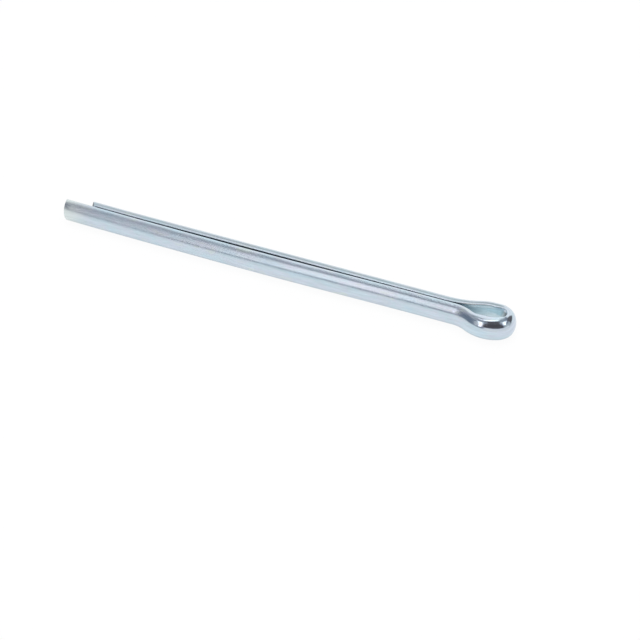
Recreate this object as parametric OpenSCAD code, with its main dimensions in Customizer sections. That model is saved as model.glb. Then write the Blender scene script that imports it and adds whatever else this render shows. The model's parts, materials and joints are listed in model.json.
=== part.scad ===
// Split cotter pin: one length of half-round wire folded back on itself.
// The two flats face each other along the shank, and the fold opens into an eye.
// Lengths are in millimetres. The origin is on the shank's axis, where the two legs part into
// the eye. +X runs along the shank to the prong ends and Z is square to the plane of the fold.

/* [Wire] */
// Diameter of the shank, across the round backs of both legs
shank_d = 3.7; // [3.0:0.05:4.5]
// Gap between the flats of the two legs
slit = 0.16; // [0.14:0.02:0.5]
// Radius of the wire's two long corners, between the flat and the round back
corner_r = 0.22; // [0.1:0.01:0.35]
// How far the wire's surface draws in where it bends hardest, at the necks and the nose
bend_thinning = 0.02; // [0.01:0.005:0.04]

/* [Legs] */
// Length of the shorter leg, from the eye to its end
short_leg_l = 55.4; // [20:0.1:100]
// How far the longer leg runs on past the shorter one
long_leg_extra = 4.0; // [1:0.1:8]
// Chamfer round the back of each leg's cut end
end_chamfer = 0.1; // [0.05:0.01:0.4]
// Slant of the longer leg's cut, which leaves its upper side longer, in degrees
long_end_slant = 5; // [0:1:15]
// Slant of the shorter leg's cut, which leaves its outer side longer, in degrees
short_end_slant = 13; // [0:1:20]

/* [Eye] */
// Width of the eye's hole at its widest
hole_w = 2.38; // [2.3:0.02:3.6]
// Inside radius of the nose, at the closed end of the hole
nose_r = 1.0; // [0.6:0.02:1.04]
// How far the nose lies off the shank's axis, towards the shorter leg
nose_shift = 0.1; // [0:0.01:0.16]
// Inside radius of the shoulder on the longer leg's side
long_shoulder_r = 4.5; // [2.5:0.1:8]
// Inside radius of the shoulder on the shorter leg's side
short_shoulder_r = 6.2; // [2.5:0.1:9]
// Radius of the bend at the neck on the longer leg's side, along the shank's axis
long_neck_r = 5.8; // [3:0.1:12]
// Radius of the bend at the neck on the shorter leg's side, along the shank's axis
short_neck_r = 5.8; // [3:0.1:12]

/* [Hidden] */
$fn = 96;
steel = [0.76, 0.80, 0.83];
wire_r = shank_d / 2;
flat_x = slit / 2;
// Room that cutting shapes take past the solid, and that a leg is drawn past its cut end
over = 1;
// Reach of the cutter along a leg, past its cut end
cutter_l = 3 * over;
// How far a thinned bend runs on inside the stretch of wire next to it
lap = 0.15;

// Centres of the wire's rounded corners, in its section
corner_x = flat_x + corner_r;
corner_y = sqrt((wire_r - corner_r) ^ 2 - corner_x ^ 2);

// The wire's path is the line of the centres of its round backs, so that both legs share the
// shank's axis. A flat lies flat_x outside the path, on the wire's own side.
path_half_w = hole_w / 2 - flat_x;
path_nose_r = nose_r - flat_x;

// Each side of the eye is [side of the axis, radius of the neck, radius of the path's shoulder].
long_side = [1, long_neck_r, long_shoulder_r - flat_x];
short_side = [-1, short_neck_r, short_shoulder_r - flat_x];
function neck_r(side) = side[1];
function shoulder_r(side) = side[2];

// Heights of the nose's centre and the shoulder's over the axis, seen from one side of the eye
function nose_rise(side) = -side[0] * nose_shift;
function shoulder_rise(side) = path_half_w - shoulder_r(side);

// Angle, over the shank's axis, at which the shoulder passes smoothly into the nose
function nose_angle(side) =
    asin((nose_rise(side) - shoulder_rise(side)) / (shoulder_r(side) - path_nose_r));
// Angle that the wire turns through at the neck, on its way out to the shoulder
function neck_angle(side) = acos(1 - path_half_w / (neck_r(side) + shoulder_r(side)));

// Runs along the axis from the nose's centre to the shoulder's, and from there to the neck's
function shoulder_run(side) = (shoulder_r(side) - path_nose_r) * cos(nose_angle(side));
function neck_run(side) = (neck_r(side) + shoulder_r(side)) * sin(neck_angle(side));
function eye_run(side) = shoulder_run(side) + neck_run(side);

// Places along the pin. The longer leg parts from the shank's axis at the origin.
nose_x = -eye_run(long_side);
function shoulder_x(side) = nose_x + shoulder_run(side);
function neck_x(side) = nose_x + eye_run(side);
long_leg_l = short_leg_l + long_leg_extra;

// Angle of an arc of that length and radius
function arc_angle(length, radius) = length / radius * 180 / PI;

// One rounded corner of the section, as the sector that it fills
module corner_sector(inset) {
    intersection() {
        translate([corner_x, corner_y]) circle(corner_r - inset);
        corner_wedge();
    }
}

// The region round one corner of the section, between the two lines to its tangent points
module corner_wedge() {
    reach = (wire_r + over) / (wire_r - corner_r);
    polygon([
        [corner_x, corner_y],
        [corner_x * reach, corner_y * reach],
        [flat_x - over, corner_y * reach],
        [flat_x - over, corner_y]
    ]);
}

// The wire's section, drawn in by inset all round: a flat, and a round back centred on the path
module half_round(inset = 0) {
    difference() {
        intersection() {
            circle(wire_r - inset);
            translate([flat_x + inset, -wire_r]) square([wire_r, shank_d]);
        }
        corner_wedge();
        mirror([0, 1]) corner_wedge();
    }
    corner_sector(inset);
    mirror([0, 1]) corner_sector(inset);
}

// One straight leg from the neck to its cut end, on the +Y side of the shank
module leg(start_x, end_x, slant) {
    difference() {
        translate([start_x, 0, 0])
            rotate([90, 0, 90])
                linear_extrude(end_x + over - start_x) half_round();
        translate([end_x, 0, 0]) rotate(slant) rotate([0, 90, 0]) end_cutter();
    }
}

// What is sheared off a leg at its end, with the sharp edge round its back
module end_cutter() {
    rotate_extrude()
        polygon([
            [0, 0],
            [wire_r - end_chamfer, 0],
            [wire_r + over, -end_chamfer - over],
            [wire_r + over, cutter_l],
            [0, cutter_l]
        ]);
}

// The bend at the neck, on the +Y side. Its centre lies on the side of the wire's back.
module neck(side) {
    turn = neck_angle(side);
    more = arc_angle(lap, neck_r(side));
    translate([neck_x(side), neck_r(side), 0])
        rotate_extrude(start = 270 - turn - more, angle = turn + 2 * more)
            translate([neck_r(side), 0]) mirror([1, 0]) half_round(bend_thinning);
}

// The wide bend of the shoulder, on the +Y side, from the neck to the nose
module shoulder(side) {
    translate([shoulder_x(side), shoulder_rise(side), 0])
        rotate_extrude(start = 90 - neck_angle(side), angle = 90 + neck_angle(side) - nose_angle(side))
            translate([shoulder_r(side), 0]) half_round();
}

// The closed end of the eye, between the two shoulders
module nose() {
    more = arc_angle(lap, path_nose_r + wire_r);
    turn = nose_angle(long_side) + nose_angle(short_side);
    translate([nose_x, -nose_shift, 0])
        rotate_extrude(start = 180 - nose_angle(long_side) - more, angle = turn + 2 * more)
            translate([path_nose_r, 0]) half_round(bend_thinning);
}

// One half of the pin as far as the nose, on the +Y side
module half_pin(side, leg_l, end_slant) {
    leg(neck_x(side), leg_l, end_slant);
    neck(side);
    shoulder(side);
}

module cotter_pin() {
    color(steel) {
        half_pin(long_side, long_leg_l, [0, long_end_slant, 0]);
        mirror([0, 1, 0]) half_pin(short_side, short_leg_l, [0, 0, -short_end_slant]);
        nose();
    }
}

cotter_pin();
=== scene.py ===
# %% [markdown]
# A split cotter pin is one length of half-round steel wire, folded back on itself so that its two
# flats face each other and together make a round shank. The fold is left open as an eye. The packed
# solid gives the pin's place and size, and this script gives it its looks: a finely divided wire
# with a plated finish, and a small white studio for it to reflect.

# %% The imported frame
import json
from math import acos, asin, atan2, cos, degrees, pi, radians, sin, sqrt

import bmesh
import bpy
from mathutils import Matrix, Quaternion, Vector


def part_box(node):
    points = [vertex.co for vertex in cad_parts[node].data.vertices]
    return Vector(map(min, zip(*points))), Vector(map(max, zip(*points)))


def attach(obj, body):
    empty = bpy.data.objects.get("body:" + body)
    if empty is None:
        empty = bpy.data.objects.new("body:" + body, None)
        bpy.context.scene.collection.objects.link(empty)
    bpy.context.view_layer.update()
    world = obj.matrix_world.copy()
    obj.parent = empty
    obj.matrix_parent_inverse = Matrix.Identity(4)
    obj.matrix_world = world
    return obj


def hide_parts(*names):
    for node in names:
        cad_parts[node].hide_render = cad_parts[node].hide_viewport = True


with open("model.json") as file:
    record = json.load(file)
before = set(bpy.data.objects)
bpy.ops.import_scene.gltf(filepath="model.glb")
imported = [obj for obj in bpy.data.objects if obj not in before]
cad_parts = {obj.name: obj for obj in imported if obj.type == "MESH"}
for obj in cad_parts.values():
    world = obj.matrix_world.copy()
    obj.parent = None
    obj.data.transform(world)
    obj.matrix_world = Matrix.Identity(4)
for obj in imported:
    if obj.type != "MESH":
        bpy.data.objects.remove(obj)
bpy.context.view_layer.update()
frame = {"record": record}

MM = 0.001
pin_low, pin_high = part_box("cotter_pin")
print("pin box in mm:", [round(v / MM, 2) for v in (*pin_low, *pin_high)])

# %% [markdown]
# The photograph looks down on the pin from the side of its longer leg, with the eye nearer to the
# camera than the prongs. A long lens at about thirty centimetres keeps the two edges of the shank
# almost parallel. Placing the camera by a point that it looks at, a distance and two angles is
# easier to read than a matrix, and a track quaternion keeps the horizon level. The pin didn't lie
# quite flat for its picture, so the camera is then swung a few degrees about the pin's own axis.

# %% Camera
AIM = Vector((16.89, 8.26, -0.10)) * MM
CAMERA_RANGE = 296.97 * MM
CAMERA_HEADING = radians(111.3)
CAMERA_HEIGHT = radians(44.47)
PIN_ROLL = radians(3)
LENS = 120.94
SENSOR = 36
NEAREST = 10 * MM

to_camera = Vector((cos(CAMERA_HEIGHT) * cos(CAMERA_HEADING),
                    cos(CAMERA_HEIGHT) * sin(CAMERA_HEADING),
                    sin(CAMERA_HEIGHT)))
camera_data = bpy.data.cameras.new("camera")
camera_data.lens = LENS
camera_data.sensor_width = SENSOR
camera_data.clip_start = NEAREST
camera = bpy.data.objects.new("camera", camera_data)
swing = Quaternion((1, 0, 0), PIN_ROLL)
camera.location = swing @ (AIM + to_camera * CAMERA_RANGE)
camera.rotation_euler = (swing @ (-to_camera).to_track_quat("-Z", "Y")).to_euler()
bpy.context.scene.collection.objects.link(camera)
bpy.context.scene.camera = camera
print("camera at", [round(v / MM, 1) for v in camera.location], "mm")

# %% [markdown]
# The wire's section is a D: a flat, a round back centred on the shank's axis, and two small rounded
# corners between them. It could be a circle cut by a plane, but a bevel can't round those corners,
# because the circle's own edges are shorter than the bevel. Instead one vertex is spun about the
# centre of each round in turn, which draws true arcs, and the flat closes the outline. The wire is a
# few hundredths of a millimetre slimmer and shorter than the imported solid, so it stays inside it.

# %% Outline of the half-round wire
shank = frame["record"]["mounts"][0]["dims"]
INSIDE = 0.03 * MM
WIRE_R = shank["r_mm"] * MM - INSIDE
LONG_LEG = shank["length_mm"] * MM - INSIDE
SPARE = 2 * MM
SLIT = 0.12 * MM
CORNER_R = 0.1 * MM
CORNER_STEPS = 7
BACK_STEPS = 44
FLAT_STEPS = 8
WELD = 0.001 * MM
LEG_AXIS = Vector((1, 0, 0))

flat_y = SLIT / 2
corner_y = flat_y + CORNER_R
corner_z = sqrt((WIRE_R - CORNER_R) ** 2 - corner_y ** 2)
back_turn = atan2(corner_z, corner_y)
start_x = LONG_LEG + SPARE

bm = bmesh.new()
along = bm.verts.layers.float.new("along")
around = bm.verts.layers.float.new("around")


def draw_arc(tip, centre, turn, steps):
    """Draws an arc from a loose vertex and returns the vertex at its far end."""
    drawn = bmesh.ops.spin(bm, geom=[tip], cent=centre, axis=LEG_AXIS, angle=turn, steps=steps)
    return next(v for v in drawn["geom_last"] if isinstance(v, bmesh.types.BMVert))


low_corner = Vector((start_x, corner_y, -corner_z))
high_corner = Vector((start_x, corner_y, corner_z))
tip = bm.verts.new((start_x, flat_y, -corner_z))
tip = draw_arc(tip, low_corner, pi - back_turn, CORNER_STEPS)
tip = draw_arc(tip, Vector((start_x, 0, 0)), 2 * back_turn, BACK_STEPS)
tip = draw_arc(tip, high_corner, pi - back_turn, CORNER_STEPS)
for step in range(FLAT_STEPS):
    drawn = bmesh.ops.extrude_vert_indiv(bm, verts=[tip])
    tip = drawn["verts"][0]
    tip.co.z -= 2 * corner_z / FLAT_STEPS
bmesh.ops.remove_doubles(bm, verts=bm.verts[:], dist=WELD)

girth = 0
outline = bm.verts[:]
for vert, following in zip(outline, outline[1:] + outline[:1]):
    vert[around] = girth
    girth += (following.co - vert.co).length
flat_start = outline[-FLAT_STEPS][around]
print("outline:", len(outline), "points, girth", round(girth / MM, 2), "mm")

# %% [markdown]
# The wire's path is made of straight legs and true arcs, as a former bends it: out at a neck, round
# a wide shoulder, tightly round the nose, and back the same way. Each arc starts where the last one
# ended and heads the same way, so a few radii and the eye's width settle every angle.

# %% Path of the eye
EYE_HALF_W = 1.11 * MM
LONG_NECK_R, LONG_SHOULDER_R = 5.8 * MM, 4.42 * MM
SHORT_NECK_R, SHORT_SHOULDER_R = 15 * MM, 5 * MM
NOSE_R = 0.92 * MM
NOSE_SHIFT = 0.1 * MM
SHORT_LEG = 55.4 * MM


class Side:
    """One side of the eye: its neck and shoulder, and how far each turns."""

    def __init__(self, neck_r, shoulder_r, nose_rise):
        self.neck_r = neck_r
        self.shoulder_r = shoulder_r
        self.shoulder_rise = EYE_HALF_W - shoulder_r
        reach = shoulder_r - NOSE_R
        self.nose_turn = asin((nose_rise - self.shoulder_rise) / reach)
        self.neck_turn = acos(1 - EYE_HALF_W / (neck_r + shoulder_r))
        self.shoulder_turn = pi / 2 + self.neck_turn - self.nose_turn
        self.shoulder_run = reach * cos(self.nose_turn)
        self.run = self.shoulder_run + (neck_r + shoulder_r) * sin(self.neck_turn)


long_side = Side(LONG_NECK_R, LONG_SHOULDER_R, -NOSE_SHIFT)
short_side = Side(SHORT_NECK_R, SHORT_SHOULDER_R, NOSE_SHIFT)
nose_x = -long_side.run
for name, side in (("long", long_side), ("short", short_side)):
    print(name, "side turns", round(degrees(side.neck_turn), 1), "degrees at the neck and",
          round(degrees(side.shoulder_turn), 1), "at the shoulder")

# %% [markdown]
# Spin extrudes a loop of edges and turns it about a centre, one ring at a time, so the same operator
# bends the wire and, with no turn, runs it straight. Two numbers are kept on every vertex: how far
# along the wire it lies, and how far around the section. The second copies itself with each new
# ring, and the first is set here.

# %% The wire, drawn along its path
UP = Vector((0, 0, 1))
LEG_STEP = 1.5 * MM
BEND_STEP = radians(3)

ring = bm.verts[:] + bm.edges[:]
travelled = 0


def next_ring(ring, distance, **move):
    """Extrudes the wire's open end by one ring, which lies that much further along the wire."""
    global travelled
    travelled += distance
    made = bmesh.ops.spin(bm, geom=ring, axis=UP, steps=1, **move)["geom_last"]
    for part in made:
        if isinstance(part, bmesh.types.BMVert):
            part[along] = travelled
    return made


def run_straight(ring, distance):
    """Runs the wire straight along X, towards the eye where the distance is below zero."""
    steps = max(2, round(abs(distance) / LEG_STEP))
    for step in range(steps):
        ring = next_ring(ring, abs(distance) / steps, cent=(0, 0, 0), angle=0,
                         dvec=(distance / steps, 0, 0))
    return ring


def bend(ring, centre, path_r, turn):
    """Bends the wire about an upright axis, counter-clockwise where the turn is above zero."""
    steps = max(4, round(abs(turn) / BEND_STEP))
    for step in range(steps):
        ring = next_ring(ring, path_r * abs(turn) / steps, cent=centre, angle=turn / steps)
    return ring


short_neck_x = nose_x + short_side.run
ring = run_straight(ring, -start_x)
ring = bend(ring, (0, long_side.neck_r, 0), long_side.neck_r, -long_side.neck_turn)
eye_start = travelled
ring = bend(ring, (nose_x + long_side.shoulder_run, long_side.shoulder_rise, 0),
            long_side.shoulder_r, long_side.shoulder_turn)
nose_start = travelled
ring = bend(ring, (nose_x, -NOSE_SHIFT, 0), NOSE_R, long_side.nose_turn + short_side.nose_turn)
nose_middle = (nose_start + travelled) / 2
ring = bend(ring, (nose_x + short_side.shoulder_run, -short_side.shoulder_rise, 0),
            short_side.shoulder_r, short_side.shoulder_turn)
eye_end = travelled
ring = bend(ring, (short_neck_x, -short_side.neck_r, 0), short_side.neck_r, -short_side.neck_turn)
ring = run_straight(ring, SHORT_LEG + SPARE - short_neck_x)
print("wire:", round(travelled / MM, 1), "mm long,", len(bm.faces), "faces")

# %% [markdown]
# Wire that is folded tightly stretches on the outside of the fold, so the nose is thinner than the
# legs. It is thinnest on the shorter leg's side of the tip, where the former pulled hardest, and that
# makes the hole a little longer and squarer there. The inner side is pushed outwards by an amount
# that falls off to both sides of the thinnest place. The back sinks in a little at the tip and swells
# beside it, so the nose has two full corners rather than a true round. Each corner is given by where
# it starts, is fullest and ends, in degrees round the nose from the tip towards the shorter leg.

# %% Thinner nose with full corners
NOSE_THINNING = 0.36 * MM
NOSE_PULL = 0.05 * MM
THIN_TURN = radians(35)
CORNER_SWELL = 0.07 * MM
SHORT_CORNER = (60, 86, 112)
LONG_CORNER = (-60, -25, 5)


def ramp(value, low, high):
    """Returns 0 at low and 1 at high, with a soft passage between them."""
    share = min(max((value - low) / (high - low), 0), 1)
    return share * share * (3 - 2 * share)


def hump(value, start, top, end):
    """Returns 1 at the top and 0 outside start and end, with soft passages between them."""
    return ramp(value, start, top) * ramp(value, end, top)


nose = Vector((nose_x, -NOSE_SHIFT, 0))
thinnest = Vector((-cos(THIN_TURN), -sin(THIN_TURN), 0))
for vert in bm.verts:
    arm = vert.co - nose
    arm.z = 0
    outward = arm.normalized()
    share = min(max((arm.length - NOSE_R - flat_y) / (WIRE_R - flat_y), 0), 1)
    push = NOSE_THINNING * (1 - share) * max(outward.dot(thinnest), 0) ** 2
    pull = NOSE_PULL * share * max(-outward.x, 0) ** 2
    turn = degrees(atan2(-outward.y, -outward.x))
    swell = CORNER_SWELL * share * (hump(turn, *SHORT_CORNER) + hump(turn, *LONG_CORNER))
    vert.co += outward * (push - pull + swell)
print("nose is about", round((WIRE_R - flat_y - NOSE_THINNING) / MM, 2), "mm thick at its thinnest")

# %% [markdown]
# On the inside of a bend the metal is crowded together instead. On the longer leg's shoulder it has
# nowhere to go but into the eye, so the upper and lower rims of the hole grow a flat ledge there. The
# shift is largest at the flat and dies away quickly towards the wire's back.

# %% Crowded shoulder
CROWDING = 0.36 * MM
CROWD_START, CROWD_FULL = -2.8 * MM, -4.4 * MM
CROWD_FADE, CROWD_END = -7.0 * MM, -8.2 * MM
CROWD_SIDE = 1.0 * MM

shoulder = Vector((nose_x + long_side.shoulder_run, long_side.shoulder_rise, 0))
for vert in bm.verts:
    arm = vert.co - shoulder
    arm.z = 0
    weight = ramp(vert.co.x, CROWD_START, CROWD_FULL) * ramp(vert.co.x, CROWD_END, CROWD_FADE)
    weight *= ramp(vert.co.y, 0, CROWD_SIDE)
    if weight > 0:
        share = (arm.length - long_side.shoulder_r - flat_y) / (WIRE_R - flat_y)
        vert.co -= arm.normalized() * CROWDING * weight * (1 - min(max(share, 0), 1)) ** 3
print("ledge is up to", CROWDING / MM, "mm wide")

# %% [markdown]
# The legs of a real pin aren't quite straight. They all but touch near the eye and at the shorter
# leg's end, and between those they spring apart by a fraction of a millimetre, mostly the longer leg.
# The last few millimetres of both lean a little towards the shorter leg's side. The path could be bent
# for that, but a smooth sideways shift of the straight legs is enough.

# %% Spring of the legs
BOW_FROM, BOW_TO = 4 * MM, 56 * MM
LONG_BOW, SHORT_BOW = 0.17 * MM, 0.01 * MM
LEAN_FROM = 46 * MM
LEAN = 0.09 * MM
LEAN_RUN = 10 * MM


def sideways(x, bow):
    """How far a leg lies off its straight line at that distance from the eye."""
    share = min(max((x - BOW_FROM) / (BOW_TO - BOW_FROM), 0), 1)
    past = max(x - LEAN_FROM, 0) / LEAN_RUN
    return bow * sin(pi * share) ** 2 - LEAN * past ** 2


for vert in bm.verts:
    if vert.co.x > BOW_FROM:
        vert.co.y += sideways(vert.co.x, LONG_BOW if vert.co.y > 0 else SHORT_BOW)
middle = (BOW_FROM + BOW_TO) / 2
gap = SLIT + sideways(middle, LONG_BOW) - sideways(middle, SHORT_BOW)
print("gap at mid-length:", round(gap / MM, 2), "mm")

# %% [markdown]
# A drawn wire carries its marks along its length and round its bends, so the finish needs a map that
# follows it. The two numbers on each vertex become that map, in millimetres. The outline is a loop,
# so the last strip of faces would run backwards, and its near side is given one more girth.

# %% Map along and around the wire
wire_map = bm.loops.layers.uv.new("wire")
for face in bm.faces:
    crosses_start = max(v[around] for v in face.verts) > girth / 2
    for loop in face.loops:
        turn_round = loop.vert[around]
        if crosses_start and turn_round < girth / 4:
            turn_round += girth
        loop[wire_map].uv = (loop.vert[along] / MM, turn_round / MM)
print("map runs to", round(travelled / MM, 1), "by", round(girth / MM, 2), "mm")

# %% [markdown]
# Each leg was sheared off, a little out of square: the longer one leans back under its top edge, and
# the shorter one faces slightly up and towards the slit. The wire was drawn past both ends, so a
# slanted plane can cut it there, as the shear did. The legs are told apart by their place along the
# wire, because the longer one's flat leans past the middle there. A face closes each cut, and a fine
# bevel takes the sharpness off its rim. The cuts get a map of their own and stay flat, while the rest
# of the wire is shaded smooth. Only a cut's face has more corners than the wire's back has steps.

# %% Cut ends
RIM_R = 0.06 * MM
RIM_STEPS = 3
LONG_SLANT = radians(5)
SHORT_SLANT, SHORT_TILT = radians(22), radians(15)
SHORT_REACH = 0.30 * MM
END_ZONE = 10 * MM


def shear_off(side, end_x, normal):
    """Cuts one leg by a plane that meets the axis at end_x, closes the cut and returns its face."""
    def on_leg(part):
        points = [part] if isinstance(part, bmesh.types.BMVert) else part.verts
        return all((v[along] - nose_middle) * side < 0 and v.co.x > end_x - END_ZONE for v in points)

    leg = [part for part in bm.verts[:] + bm.edges[:] + bm.faces[:] if on_leg(part)]
    cut = bmesh.ops.bisect_plane(bm, geom=leg, plane_co=(end_x, 0, 0), plane_no=normal,
                                 clear_outer=True)["geom_cut"]
    rim = [part for part in cut if isinstance(part, bmesh.types.BMEdge)]
    return bmesh.ops.contextual_create(bm, geom=rim)["faces"]


long_normal = (cos(LONG_SLANT), 0, -sin(LONG_SLANT))
short_normal = (cos(SHORT_SLANT) * cos(SHORT_TILT), sin(SHORT_SLANT) * cos(SHORT_TILT), sin(SHORT_TILT))
ends = shear_off(1, LONG_LEG, long_normal)
ends += shear_off(-1, SHORT_LEG + SHORT_REACH, short_normal)
rims = [edge for face in ends for edge in face.edges]
bmesh.ops.bevel(bm, geom=rims, offset=RIM_R, offset_type="OFFSET", affect="EDGES",
                segments=RIM_STEPS, profile=0.5, material=-1)
bmesh.ops.recalc_face_normals(bm, faces=bm.faces[:])
for face in bm.faces:
    is_cut = len(face.verts) > BACK_STEPS
    face.smooth = not is_cut
    face.material_index = 1 if is_cut else 0
    if is_cut:
        for loop in face.loops:
            loop[wire_map].uv = (loop.vert.co.y / MM, loop.vert.co.z / MM)
print("cut faces:", sum(face.material_index for face in bm.faces), "and open edges:",
      sum(not edge.is_manifold for edge in bm.edges))

# %% [markdown]
# The shape is complete, so the mesh is written once and becomes an ordinary object at the origin. It
# takes the imported solid's place and rides on the part's root body.

# %% The finished piece
pin_mesh = bpy.data.meshes.new("split_pin")
bm.to_mesh(pin_mesh)
bm.free()
pin = bpy.data.objects.new("split_pin", pin_mesh)
bpy.context.scene.collection.objects.link(pin)
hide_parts("cotter_pin")
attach(pin, "root")
print("split_pin:", len(pin_mesh.polygons), "faces")

# %% [markdown]
# Bright zinc with a blue passivation is a metal, so its colour is the colour of its reflections.
# Nodes are easier to follow when one short helper makes a node, sets its options and fills its
# sockets, either with a value or with a link from another node.

# %% Helper for nodes
def add(tree, kind, options=None, **sockets):
    """Makes a node. Each socket is named with _ for a space, and takes a value or an output."""
    node = tree.nodes.new(kind)
    for name, value in (options or {}).items():
        setattr(node, name, value)
    for name, value in sockets.items():
        key = int(name[1:]) if name[0] == "i" and name[1:].isdigit() else name.replace("_", " ")
        if isinstance(value, bpy.types.NodeSocket):
            tree.links.new(value, node.inputs[key])
        else:
            node.inputs[key].default_value = value
    return node


def math(tree, operation, *values):
    """Makes a Math node from values or outputs and returns its result."""
    numbered = {f"i{place}": value for place, value in enumerate(values)}
    return add(tree, "ShaderNodeMath", {"operation": operation}, **numbered).outputs[0]


def smooth_step(tree, value, low, high):
    """Returns 0 below low and 1 above high, with a soft passage between them."""
    node = add(tree, "ShaderNodeMapRange", {"interpolation_type": "SMOOTHSTEP"},
               Value=value, From_Min=low, From_Max=high)
    return node.outputs["Result"]


print("node helpers ready")

# %% [markdown]
# The plating isn't even. The thin passive film over the zinc shows faint colours, from blue through
# lavender to straw, in patches of a few millimetres, and the zinc itself is finely grained. Both
# show on the wire and on its cut ends, so each is a node group that both finishes share.

# %% Passive film and plating grain
BLUE = (0.525, 0.660, 0.760, 1)
CLEAR = (0.560, 0.670, 0.735, 1)
LAVENDER = (0.585, 0.648, 0.742, 1)
STRAW = (0.605, 0.690, 0.695, 1)
FILM_STOPS = ((0.32, BLUE), (0.46, CLEAR), (0.56, LAVENDER), (0.65, STRAW))


def new_group(name, inputs, outputs):
    """Makes a shader group from the names, types and first values of its sockets."""
    group = bpy.data.node_groups.new(name, "ShaderNodeTree")
    for socket, kind, value in inputs:
        group.interface.new_socket(socket, in_out="INPUT", socket_type=kind).default_value = value
    for socket, kind in outputs:
        group.interface.new_socket(socket, in_out="OUTPUT", socket_type=kind)
    return group, add(group, "NodeGroupInput"), add(group, "NodeGroupOutput")


film, film_in, film_out = new_group(
    "passive_film",
    [("Vector", "NodeSocketVector", (0, 0, 0)), ("Patch Size", "NodeSocketFloat", 5)],
    [("Color", "NodeSocketColor")])
patch_scale = math(film, "DIVIDE", 1, film_in.outputs["Patch Size"])
patches = add(film, "ShaderNodeTexNoise", Vector=film_in.outputs["Vector"], Scale=patch_scale,
              Detail=6.0, Roughness=0.66)
film_ramp = add(film, "ShaderNodeValToRGB", Fac=patches.outputs["Fac"])
for share, colour in FILM_STOPS:
    film_ramp.color_ramp.elements.new(share).color = colour
film_ramp.color_ramp.elements.remove(film_ramp.color_ramp.elements[-1])
film_ramp.color_ramp.elements.remove(film_ramp.color_ramp.elements[0])
film.links.new(film_ramp.outputs["Color"], film_out.inputs["Color"])

grain, grain_in, grain_out = new_group(
    "plating_grain",
    [("Vector", "NodeSocketVector", (0, 0, 0)), ("Grain Size", "NodeSocketFloat", 0.3)],
    [("Height", "NodeSocketFloat")])
grain_scale = math(grain, "DIVIDE", 1, grain_in.outputs["Grain Size"])
specks = add(grain, "ShaderNodeTexNoise", Vector=grain_in.outputs["Vector"], Scale=grain_scale,
             Detail=2.0, Roughness=0.5)
grain.links.new(specks.outputs["Fac"], grain_out.inputs["Height"])
print("groups:", film.name, grain.name)

# %% [markdown]
# The wire was pulled through a die, folded round a former and then plated, and all three left marks
# that follow the wire. The finish therefore reads the wire's map. The map's first number tells the
# shank from the eye, the nose and the prongs, and its second tells the flat from the round back. Each
# such place becomes a mask from 0 to 1 with a soft edge, and the next cells mix by these masks.

# %% Zinc on the drawn wire
EYE_FADE = 4.0
FLAT_FADE = 0.1


def new_material(name):
    """Makes a metal and returns it with its tree and its shader."""
    material = bpy.data.materials.new(name)
    material.use_nodes = True
    shader = material.node_tree.nodes["Principled BSDF"]
    shader.inputs["Metallic"].default_value = 1.0
    return material, material.node_tree, shader


zinc, tree, shader = new_material("zinc_on_drawn_wire")
pin_mesh.materials.append(zinc)
wire_uv = add(tree, "ShaderNodeUVMap", {"uv_map": "wire"}).outputs["UV"]
map_parts = add(tree, "ShaderNodeSeparateXYZ", Vector=wire_uv).outputs
from_tip = math(tree, "SUBTRACT", map_parts["X"], SPARE / MM)
past_nose = math(tree, "SUBTRACT", map_parts["X"], nose_middle / MM)
eye_middle = (eye_start + eye_end) / 2 / MM
eye_half = (eye_end - eye_start) / 2 / MM
from_eye = math(tree, "ABSOLUTE", math(tree, "SUBTRACT", map_parts["X"], eye_middle))
on_shank = smooth_step(tree, from_eye, eye_half - EYE_FADE / 2, eye_half + EYE_FADE / 2)
flat_edge = flat_start / MM
on_flat = smooth_step(tree, map_parts["Y"], flat_edge - FLAT_FADE, flat_edge + FLAT_FADE)
print("eye lies", round(eye_start / MM, 1), "to", round(eye_end / MM, 1), "mm along the wire")

# %% [markdown]
# On the backs the film's patches are drawn out along the wire, with finer streaks over them, where
# the die left lines in the metal. Towards the longer leg's tip the film is thinner and paler. A plain
# noise would show no direction, so both noises are stretched along the map.

# %% Film on the backs
PATCH_STRETCH = (0.45, 1.0, 1.0)
PATCH_SIZE = 1.6
STREAK_STRETCH = (0.3, 2.6, 1.0)
STREAK_DEPTH = 0.10
NOISE_LOW, NOISE_HIGH = 0.25, 0.75
TIP_ZINC = (0.70, 0.755, 0.735, 1)
TIP_RUN = 5.0
TIP_SHARE = 0.8


def stretched_noise(tree, vector, stretch, detail=4.0):
    """Makes a noise that is stretched along the wire's map."""
    mapped = add(tree, "ShaderNodeMapping", Vector=vector, Scale=stretch).outputs[0]
    return add(tree, "ShaderNodeTexNoise", Vector=mapped, Scale=1.0, Detail=detail,
               Roughness=0.6).outputs["Fac"]


def blend(tree, share, under, over):
    """Lays one colour over another by a share and returns the result."""
    return add(tree, "ShaderNodeMix", {"data_type": "RGBA"}, i0=share, i6=under, i7=over).outputs[2]


film_place = add(tree, "ShaderNodeMapping", Vector=wire_uv, Scale=PATCH_STRETCH).outputs[0]
film_node = add(tree, "ShaderNodeGroup", {"node_tree": film}, Vector=film_place, Patch_Size=PATCH_SIZE)
streaks = stretched_noise(tree, wire_uv, STREAK_STRETCH, detail=3.0)
streak_value = add(tree, "ShaderNodeMapRange", Value=streaks, From_Min=NOISE_LOW, From_Max=NOISE_HIGH,
                   To_Min=1 - STREAK_DEPTH, To_Max=1 + STREAK_DEPTH).outputs["Result"]
near_tip = math(tree, "SUBTRACT", 1, smooth_step(tree, from_tip, 0, TIP_RUN))
tipped = blend(tree, math(tree, "MULTIPLY", near_tip, TIP_SHARE), film_node.outputs["Color"], TIP_ZINC)
print("patches of", PATCH_SIZE, "mm, paler over the last", TIP_RUN, "mm")
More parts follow.
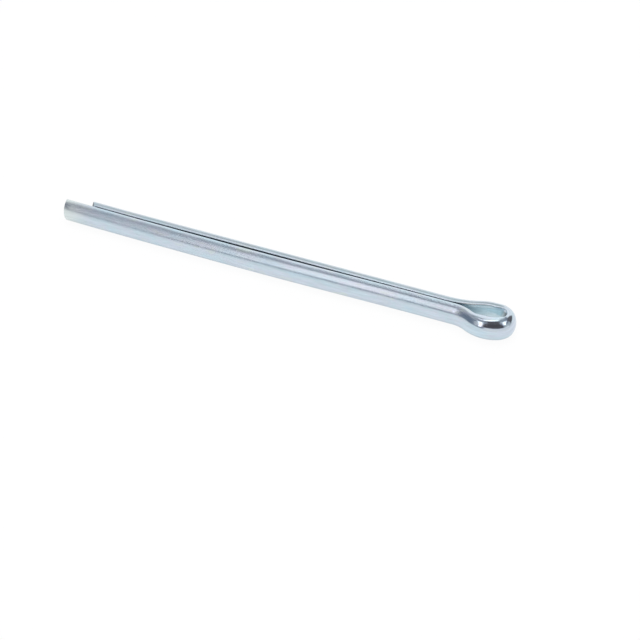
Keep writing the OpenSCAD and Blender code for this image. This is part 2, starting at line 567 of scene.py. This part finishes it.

# %% [markdown]
# The flats take a paler, bluer zinc than the backs, which is a painted reflection colour for the teal
# of the eye's inner wall, and in the tight fold of the nose it is darkened as painted shade. A painted
# highlight lies on the upper rim beside the flat in two places: round the shorter leg's side of the
# eye, and at the longer leg's tip. Each is laid over the film by the masks.

# %% Painted reflection colour and shade on the flats, painted highlights on the rims
# Painted reflection colour: the flats' zinc stands in for the teal their reflections show inside the eye.
FLAT_PAINTED_REFLECTION = (0.63, 0.77, 0.83)
# Painted shade: the flats' colour falls to this share in the nose's fold, between these distances from it.
NOSE_PAINTED_SHADE = 0.20
NOSE_FROM, NOSE_TO = 0.5, 1.35
# Painted highlight: a pale colour on the upper rim round the eye's far limb and at the longer leg's tip.
RIM_HIGHLIGHT_PAINT = (0.86, 0.88, 0.90, 1)
RIM_HIGHLIGHT_FROM, RIM_HIGHLIGHT_TO = 1.6, 7.6
TIP_HIGHLIGHT_RUN = 5.0
RIM_HIGHLIGHT_FADE = 1.2
RIM_HIGHLIGHT_WIDTH = 0.7


def between(tree, share, low, high):
    """Returns low where the share is 0 and high where it is 1."""
    return add(tree, "ShaderNodeMapRange", Value=share, To_Min=low, To_Max=high).outputs["Result"]


def scaled(tree, colour, value):
    """Multiplies a colour by a value."""
    return add(tree, "ShaderNodeVectorMath", {"operation": "SCALE"}, i0=colour, Scale=value).outputs[0]


# Painted shade: the flats are darker near the middle of the nose's fold.
from_nose = math(tree, "ABSOLUTE", past_nose)
nose_painted_shade = between(tree, smooth_step(tree, from_nose, NOSE_FROM, NOSE_TO), NOSE_PAINTED_SHADE, 1)
# The flats get the painted reflection colour, darkened by the painted shade near the nose.
flats_with_painted_light = blend(tree, on_flat, tipped, scaled(tree, FLAT_PAINTED_REFLECTION, nose_painted_shade))
# Painted highlight along the upper rim, round the eye's far limb and at the longer leg's tip.
eye_rim_highlight = math(tree, "MULTIPLY",
                  smooth_step(tree, past_nose, RIM_HIGHLIGHT_FROM, RIM_HIGHLIGHT_FROM + RIM_HIGHLIGHT_FADE),
                  smooth_step(tree, past_nose, RIM_HIGHLIGHT_TO, RIM_HIGHLIGHT_TO - RIM_HIGHLIGHT_FADE))
tip_rim_highlight = smooth_step(tree, from_tip, TIP_HIGHLIGHT_RUN, TIP_HIGHLIGHT_RUN - RIM_HIGHLIGHT_FADE)
upper_rim = math(tree, "MULTIPLY", math(tree, "SUBTRACT", 1, on_flat),
                 smooth_step(tree, map_parts["Y"], flat_edge - RIM_HIGHLIGHT_WIDTH, flat_edge - RIM_HIGHLIGHT_WIDTH / 2))
rim_highlight_share = math(tree, "MULTIPLY", math(tree, "MAXIMUM", eye_rim_highlight, tip_rim_highlight), upper_rim)
highlight_painted = blend(tree, rim_highlight_share, flats_with_painted_light, RIM_HIGHLIGHT_PAINT)
tree.links.new(scaled(tree, highlight_painted, streak_value), shader.inputs["Base Color"])
print("rim rubbed from", RIM_HIGHLIGHT_FROM, "to", RIM_HIGHLIGHT_TO, "mm past the nose")

# %% [markdown]
# The former left the eye smoother than the shank, and the shank grows duller towards the prongs. The
# flats inside the slit stay rough, so they don't mirror each other. Gloss is one number in the
# shader, so the masks choose between four values, and the streaks vary it a little.

# %% Gloss of the wire
EYE_ROUGHNESS = 0.13
SHANK_ROUGHNESS = 0.24
TIP_ROUGHNESS = 0.32
SLIT_ROUGHNESS = 0.60
DULL_FROM, DULL_TO = 25.0, 68.0
STREAK_ROUGHNESS = 0.12

shank_roughness = add(tree, "ShaderNodeMapRange", Value=from_eye, From_Min=DULL_FROM, From_Max=DULL_TO,
                      To_Min=SHANK_ROUGHNESS, To_Max=TIP_ROUGHNESS).outputs["Result"]
back_roughness = between(tree, on_shank, EYE_ROUGHNESS, shank_roughness)
in_slit = math(tree, "MULTIPLY", on_shank, on_flat)
roughness = between(tree, in_slit, back_roughness, SLIT_ROUGHNESS)
rough_streaks = math(tree, "MULTIPLY", math(tree, "SUBTRACT", streaks, 0.5), STREAK_ROUGHNESS)
tree.links.new(math(tree, "ADD", roughness, rough_streaks), shader.inputs["Roughness"])
print("roughness from", EYE_ROUGHNESS, "in the eye to", SLIT_ROUGHNESS, "in the slit")

# %% [markdown]
# The die's lines and the zinc's grain are only a few hundredths of a millimetre deep. That is too
# fine to model, so both are bump, with the grain laid over the lines.

# %% Relief of the wire
LINE_STRETCH = (0.12, 6.0, 1.0)
LINE_STRENGTH = 0.10
GRAIN_SIZE = 0.5
GRAIN_STRENGTH = 0.11
WIRE_RELIEF = 0.03 * MM


def relief(tree, height, strength, depth, **under):
    """Makes a bump, over the Normal under it where one is given, and returns the new normal."""
    return add(tree, "ShaderNodeBump", Height=height, Strength=strength, Distance=depth,
               **under).outputs["Normal"]


place = add(tree, "ShaderNodeTexCoord").outputs["Object"]
place_mm = scaled(tree, place, 1 / MM)
grain_node = add(tree, "ShaderNodeGroup", {"node_tree": grain}, Vector=place_mm, Grain_Size=GRAIN_SIZE)
lines = stretched_noise(tree, wire_uv, LINE_STRETCH)
lined = relief(tree, lines, LINE_STRENGTH, WIRE_RELIEF)
grained = relief(tree, grain_node.outputs["Height"], GRAIN_STRENGTH, WIRE_RELIEF, Normal=lined)
tree.links.new(grained, shader.inputs["Normal"])
print("nodes in", zinc.name, "-", len(tree.nodes))

# %% [markdown]
# The cut ends were sheared, so they are rougher, with marks straight across the cut. They are plated
# with the rest of the pin, so they share its film and its grain, but the zinc is thin on the torn
# metal and looks greyer. Smooth metal whitens when it is seen at a shallow angle, and torn metal does
# so much less, which a grey Specular Tint gives.

# %% Zinc on the sheared ends
CUT_PATCH = 2.0
CUT_GRAIN = 0.3
MARK_STRETCH = (0.6, 7.0, 1.0)
MARK_STRENGTH, MARK_RELIEF = 0.5, 0.06 * MM
CUT_GRAIN_STRENGTH, CUT_GRAIN_RELIEF = 0.3, 0.04 * MM
CUT_ROUGHNESS = 0.38
THIN_ZINC = 0.45
CUT_EDGE_TINT = (0.42, 0.42, 0.44, 1)

cut_zinc, tree, shader = new_material("zinc_on_sheared_ends")
pin_mesh.materials.append(cut_zinc)
wire_uv = add(tree, "ShaderNodeUVMap", {"uv_map": "wire"}).outputs["UV"]
film_node = add(tree, "ShaderNodeGroup", {"node_tree": film}, Vector=wire_uv, Patch_Size=CUT_PATCH)
grain_node = add(tree, "ShaderNodeGroup", {"node_tree": grain}, Vector=wire_uv, Grain_Size=CUT_GRAIN)
marks = stretched_noise(tree, wire_uv, MARK_STRETCH)
marked = relief(tree, marks, MARK_STRENGTH, MARK_RELIEF)
grained = relief(tree, grain_node.outputs["Height"], CUT_GRAIN_STRENGTH, CUT_GRAIN_RELIEF, Normal=marked)
tree.links.new(scaled(tree, film_node.outputs["Color"], THIN_ZINC), shader.inputs["Base Color"])
tree.links.new(grained, shader.inputs["Normal"])
shader.inputs["Roughness"].default_value = CUT_ROUGHNESS
shader.inputs["Specular Tint"].default_value = CUT_EDGE_TINT
print("materials:", [m.name for m in pin_mesh.materials])

# %% [markdown]
# The pin lies on a white floor. What the camera sees of it is mostly plain white at a strength of 1,
# and a small share is ordinary matt paint, which takes the pin's soft shadow. The metal sees more of
# the matt paint, so that the eye's inner wall and the slit reflect a floor that is shaded there.

# %% Floor
FLOOR_HALF = 600 * MM
FLOOR_PAINT = (0.92, 0.92, 0.92, 1)
WHITE = (1, 1, 1, 1)
SHADOW_SHARE = 0.05
REFLECTED_SHADOW_SHARE = 0.36

bm = bmesh.new()
bmesh.ops.create_grid(bm, x_segments=2, y_segments=2, size=FLOOR_HALF)
bmesh.ops.translate(bm, verts=bm.verts[:], vec=(AIM.x, AIM.y, pin_low.z))
floor_mesh = bpy.data.meshes.new("floor")
bm.to_mesh(floor_mesh)
bm.free()
floor = bpy.data.objects.new("floor", floor_mesh)
bpy.context.scene.collection.objects.link(floor)

paint = bpy.data.materials.new("white_floor")
paint.use_nodes = True
tree = paint.node_tree
tree.nodes.remove(tree.nodes["Principled BSDF"])
matt = add(tree, "ShaderNodeBsdfDiffuse", Color=FLOOR_PAINT)
white = add(tree, "ShaderNodeEmission", Color=WHITE, Strength=1.0)
ray = add(tree, "ShaderNodeLightPath").outputs
in_metal = math(tree, "MAXIMUM", ray["Is Glossy Ray"], ray["Is Transmission Ray"])
white_share = math(tree, "ADD", math(tree, "MULTIPLY", ray["Is Camera Ray"], 1 - SHADOW_SHARE),
                   math(tree, "MULTIPLY", in_metal, 1 - REFLECTED_SHADOW_SHARE))
surface = add(tree, "ShaderNodeMixShader", Fac=white_share, i1=matt.outputs[0], i2=white.outputs[0])
tree.links.new(surface.outputs[0], tree.nodes["Material Output"].inputs["Surface"])
floor_mesh.materials.append(paint)
print("floor at", round(pin_low.z / MM, 3), "mm")

# %% [markdown]
# Polished metal shows the room around it, so the room is drawn in the world. Each light or dark
# place in it is a rectangle with a soft edge, as seen from the pin. One node group makes the mask of
# such a rectangle from any two angles, so all of them share it.

# %% Soft-edged rectangle
box_light, box_in, box_out = new_group(
    "soft_box",
    [("Heading", "NodeSocketFloat", 0), ("Height", "NodeSocketFloat", 0),
     ("Middle Heading", "NodeSocketFloat", 0), ("Half Width", "NodeSocketFloat", 10),
     ("Middle Height", "NodeSocketFloat", 45), ("Half Rise", "NodeSocketFloat", 10),
     ("Edge", "NodeSocketFloat", 4)],
    [("Mask", "NodeSocketFloat")])


def inside(middle, half, value):
    """Returns 1 within half of the middle and 0 past the soft edge."""
    offset = math(box_light, "ABSOLUTE", math(box_light, "SUBTRACT", value, middle))
    past = math(box_light, "SUBTRACT", offset, half)
    share = math(box_light, "DIVIDE", past, box_in.outputs["Edge"])
    return math(box_light, "SUBTRACT", 1, smooth_step(box_light, share, -0.5, 0.5))


across = inside(box_in.outputs["Middle Heading"], box_in.outputs["Half Width"],
                box_in.outputs["Heading"])
upright = inside(box_in.outputs["Middle Height"], box_in.outputs["Half Rise"],
                 box_in.outputs["Height"])
box_light.links.new(math(box_light, "MULTIPLY", across, upright), box_out.inputs["Mask"])
print("group:", box_light.name)

# %% [markdown]
# Most places in the room are given by heading and height. Headings are counted from the camera's side,
# with the picture's right above zero. Headings crowd together overhead, so the lights there are given
# by two other angles, to the right of the zenith and to its front. The room is level for the camera,
# so the directions are turned back by the pin's roll first.

# %% Directions in the room
world = bpy.data.worlds.new("studio")
bpy.context.scene.world = world
world.use_nodes = True
tree = world.node_tree
direction = add(tree, "ShaderNodeTexCoord").outputs["Generated"]
levelled = add(tree, "ShaderNodeVectorRotate", {"rotation_type": "X_AXIS"}, Vector=direction,
               Angle=-PIN_ROLL).outputs[0]
turned = add(tree, "ShaderNodeVectorRotate", {"rotation_type": "Z_AXIS"}, Vector=levelled,
             Angle=-CAMERA_HEADING).outputs[0]
parts = add(tree, "ShaderNodeSeparateXYZ", Vector=turned).outputs
heading = math(tree, "DEGREES", math(tree, "ARCTAN2", parts["Y"], parts["X"]))
height = math(tree, "DEGREES", math(tree, "ARCSINE", parts["Z"]))
rightward = math(tree, "DEGREES", math(tree, "ARCSINE", parts["Y"]))
frontward = math(tree, "DEGREES", math(tree, "ARCTAN2", parts["X"], parts["Z"]))
print("headings start at", round(degrees(CAMERA_HEADING), 1), "degrees from the pin's length")

# %% [markdown]
# The studio is white low down and behind, with a dark opening on the camera's side and a smaller one
# at the right. Two soft boxes lean towards each other over the camera, a strip of light hangs
# overhead, and fainter glows lie beside them. A box's lean is a share of its frontward angle that is
# added to its rightward one. The parts are laid over each other in turn, as in a stack of cut paper.
# The camera itself sees plain white instead.

# %% Studio room
ROOM = (0.22, 0.24, 0.30, 1)
ROOM_PARTS = [
    # name, middle heading, half width, middle height, half rise, edge, colour
    ("low_front", 0, 125, -42, 59, 5, (1.0, 1.0, 1.0, 1)),
    ("right_glow", 65, 27, 30, 16, 10, (0.55, 0.55, 0.57, 1)),
    ("front_low", 20, 48, 8, 21, 7, (0.95, 0.95, 0.95, 1)),
    ("back_low", 180, 45, 12, 20, 12, (0.59, 0.62, 0.61, 1)),
    ("back_low_mirrored", -180, 22, 12, 20, 12, (0.59, 0.62, 0.61, 1)),
    ("ceiling", 0, 200, 84, 14, 8, (0.40, 0.41, 0.45, 1)),
    ("right_low", 145, 22, 12, 24, 8, (1.05, 1.06, 1.06, 1)),
    ("back_wall", 180, 62, 46, 16, 8, (1.12, 1.12, 1.12, 1)),
    ("back_wall_mirrored", -180, 62, 46, 16, 12, (1.12, 1.12, 1.12, 1)),
    ("right_opening", 106, 17, 37, 23, 8, (0.15, 0.13, 0.14, 1)),
    ("camera_opening", 0, 37, 55, 22, 6, (0.10, 0.09, 0.095, 1)),
]
OVERHEAD_PARTS = [
    # name, slant, middle to the right, half width, middle to the front, half length, edge, colour
    ("opening_top", 0, 0, 9, 3, 9, 3, (0.10, 0.09, 0.095, 1)),
    ("left_top", 0, -25, 9, -3, 12, 6, (0.48, 0.48, 0.52, 1)),
    ("overhead_back", 0, -8, 16, -31.5, 14, 4, (1.15, 1.15, 1.15, 1)),
    ("overhead_strip", 1.23, -16, 4.5, -11, 5.5, 2.5, (2.2, 2.2, 2.2, 1)),
    ("left_glow", 0.32, -23.5, 5.5, 38, 19, 8, (0.64, 0.62, 0.64, 1)),
    ("left_box", 0.32, -15.8, 2.8, 33.5, 23, 3, (2.75, 2.58, 2.56, 1)),
    ("right_box", -0.32, 20.5, 6, 15, 15, 4, (2.0, 1.95, 2.0, 1)),
]


def add_light(light, across, upright, name, middle, half, rise, half_rise, edge, colour):
    """Lays one soft-edged rectangle of the room over what is there already."""
    mask = add(tree, "ShaderNodeGroup", {"node_tree": box_light, "label": name}, Heading=across,
               Height=upright, Middle_Heading=middle, Half_Width=half, Middle_Height=rise,
               Half_Rise=half_rise, Edge=edge).outputs["Mask"]
    return blend(tree, mask, light, colour)


light = ROOM
for part in ROOM_PARTS:
    light = add_light(light, heading, height, *part)
for name, slant, *part in OVERHEAD_PARTS:
    slanted = math(tree, "MULTIPLY_ADD", frontward, slant, rightward)
    light = add_light(light, slanted, frontward, name, *part)

is_camera = add(tree, "ShaderNodeLightPath").outputs["Is Camera Ray"]
tree.links.new(blend(tree, is_camera, light, WHITE), tree.nodes["Background"].inputs["Color"])
print("room parts:", len(ROOM_PARTS) + len(OVERHEAD_PARTS))

# %% [markdown]
# One broad lamp overhead lights the floor and gives the pin its soft shadow. The metal already
# reflects the room, so the lamp stays out of its reflections. The Standard view shows each colour
# about as it is written.

# %% Overhead lamp
LAMP_HEIGHT = 500 * MM
LAMP_SIZE = 300 * MM
LAMP_POWER = 1.6

lamp_data = bpy.data.lights.new("overhead_lamp", "AREA")
lamp_data.shape = "SQUARE"
lamp_data.size = LAMP_SIZE
lamp_data.energy = LAMP_POWER
lamp = bpy.data.objects.new("overhead_lamp", lamp_data)
lamp.location = (AIM.x, AIM.y, LAMP_HEIGHT)
lamp.visible_glossy = False
bpy.context.scene.collection.objects.link(lamp)
bpy.context.scene.view_settings.view_transform = "Standard"
print("lamp", LAMP_POWER, "W at", LAMP_HEIGHT / MM, "mm")
